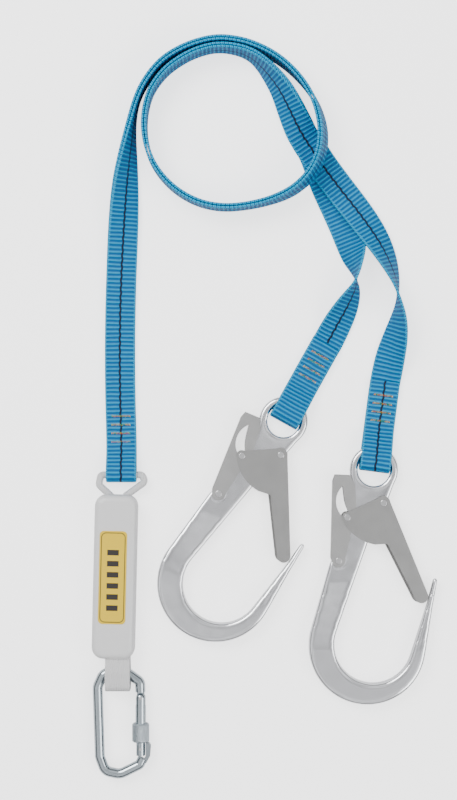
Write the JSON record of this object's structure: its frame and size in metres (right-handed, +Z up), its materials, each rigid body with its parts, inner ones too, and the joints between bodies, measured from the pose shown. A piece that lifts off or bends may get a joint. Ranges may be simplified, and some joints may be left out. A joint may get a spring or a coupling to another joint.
{
  "type": "shock absorbing twin lanyard",
  "caption": "Webbing fall arrest lanyard with sewn legs, large scaffold hooks with safety levers, tear webbing energy absorber and a screw gate carabiner.",
  "frame": {"origin": "on the surface under the middle of the box round the hooks, absorber and carabiner", "axes": "+Z up off the surface, +Y from the carabiner towards the coil, +X from the absorber towards the hooks"},
  "size_m": [0.3298, 0.7061, 0.0376],
  "materials": {
    "blue_webbing": "matte",
    "stitching": "matte",
    "forged_steel": "polished",
    "pressed_steel": "satin",
    "rivet_steel": "polished",
    "spring_steel": "satin",
    "zinc_plated_steel": "polished",
    "white_webbing": "matte",
    "white_film": "satin",
    "yellow_label": "satin"
  },
  "bodies": {
    "lanyard": {"front_leg": "blue_webbing", "back_leg": "blue_webbing", "right_eye_stitching": "stitching", "left_eye_stitching": "stitching", "absorber_eye_stitching": "stitching"},
    "absorber": {"absorber_tear_webbing": "white_webbing", "absorber_cover": "white_film", "absorber_label": "yellow_label", "absorber_upper_loop": "white_webbing", "absorber_lower_loop": "white_webbing"},
    "carabiner": {"carabiner_frame": "zinc_plated_steel", "carabiner_hinge_pin": "rivet_steel"},
    "screw_gate": {"carabiner_gate": "zinc_plated_steel", "carabiner_latch_pin": "rivet_steel"},
    "sleeve": {"carabiner_sleeve": "zinc_plated_steel"},
    "right_hook": {"right_hook_body": "forged_steel", "right_gate_rivet": "rivet_steel", "right_lever_rivet": "rivet_steel", "right_gate_spring": "spring_steel", "right_lever_spring": "spring_steel"},
    "right_hook_gate": {"right_gate": "pressed_steel", "right_lock_pin": "rivet_steel"},
    "right_hook_lever": {"right_lever": "pressed_steel"},
    "left_hook": {"left_hook_body": "forged_steel", "left_gate_rivet": "rivet_steel", "left_lever_rivet": "rivet_steel", "left_gate_spring": "spring_steel", "left_lever_spring": "spring_steel"},
    "left_hook_gate": {"left_gate": "pressed_steel", "left_lock_pin": "rivet_steel"},
    "left_hook_lever": {"left_lever": "pressed_steel"}
  },
  "joints": [
    {"name": "absorber_swing", "type": "hinge", "parent": "lanyard", "child": "absorber", "pos_m": [-0.1372, 0.1074, 0.007], "axis": [-1, 0, 0], "range_deg": [0, 80]},
    {"name": "carabiner_swing", "type": "hinge", "parent": "absorber", "child": "carabiner", "pos_m": [-0.1422, -0.0812, 0.00825], "axis": [-1, 0, 0], "range_deg": [0, 20]},
    {"name": "screw_gate_hinge", "type": "hinge", "parent": "carabiner", "child": "screw_gate", "pos_m": [-0.1186, -0.1052, 0.00825], "axis": [0, 0, -1], "range_deg": [0, 25], "stiffness_Nm_per_rad": 0.05, "springref_deg": -11.46},
    {"name": "sleeve_slide", "type": "slide", "parent": "screw_gate", "child": "sleeve", "axis": [0, 1, 0], "range_m": [0, 0.006]},
    {"name": "right_hook_swing", "type": "hinge", "parent": "lanyard", "child": "right_hook", "pos_m": [0.10663, 0.13154, 0.007], "axis": [-0.9915, 0.1299, 0], "range_deg": [0, 20]},
    {"name": "right_gate_hinge", "type": "hinge", "parent": "right_hook", "child": "right_hook_gate", "pos_m": [0.1128, 0.0809, 0.007], "axis": [0, 0, -1], "range_deg": [0, 34], "stiffness_Nm_per_rad": 0.15, "springref_deg": -17.19},
    {"name": "right_lever_hinge", "type": "hinge", "parent": "right_hook", "child": "right_hook_lever", "pos_m": [0.0703, 0.0257, 0.007], "axis": [0, 0, -1], "range_deg": [0, 4.3]},
    {"name": "left_hook_swing", "type": "hinge", "parent": "lanyard", "child": "left_hook", "pos_m": [0.02731, 0.17588, 0.007], "axis": [-0.8733, 0.4872, 0], "range_deg": [0, 20]},
    {"name": "left_gate_hinge", "type": "hinge", "parent": "left_hook", "child": "left_hook_gate", "pos_m": [0.015, 0.1265, 0.007], "axis": [0, 0, -1], "range_deg": [0, 34], "stiffness_Nm_per_rad": 0.15, "springref_deg": -17.19},
    {"name": "left_lever_hinge", "type": "hinge", "parent": "left_hook", "child": "left_hook_lever", "pos_m": [-0.04414, 0.08968, 0.007], "axis": [0, 0, -1], "range_deg": [0, 4.3]}
  ],
  "couplings": [
    {"joint": "right_lever_hinge", "follows": "right_gate_hinge", "ratio": 0.125},
    {"joint": "left_lever_hinge", "follows": "left_gate_hinge", "ratio": 0.125}
  ]
}
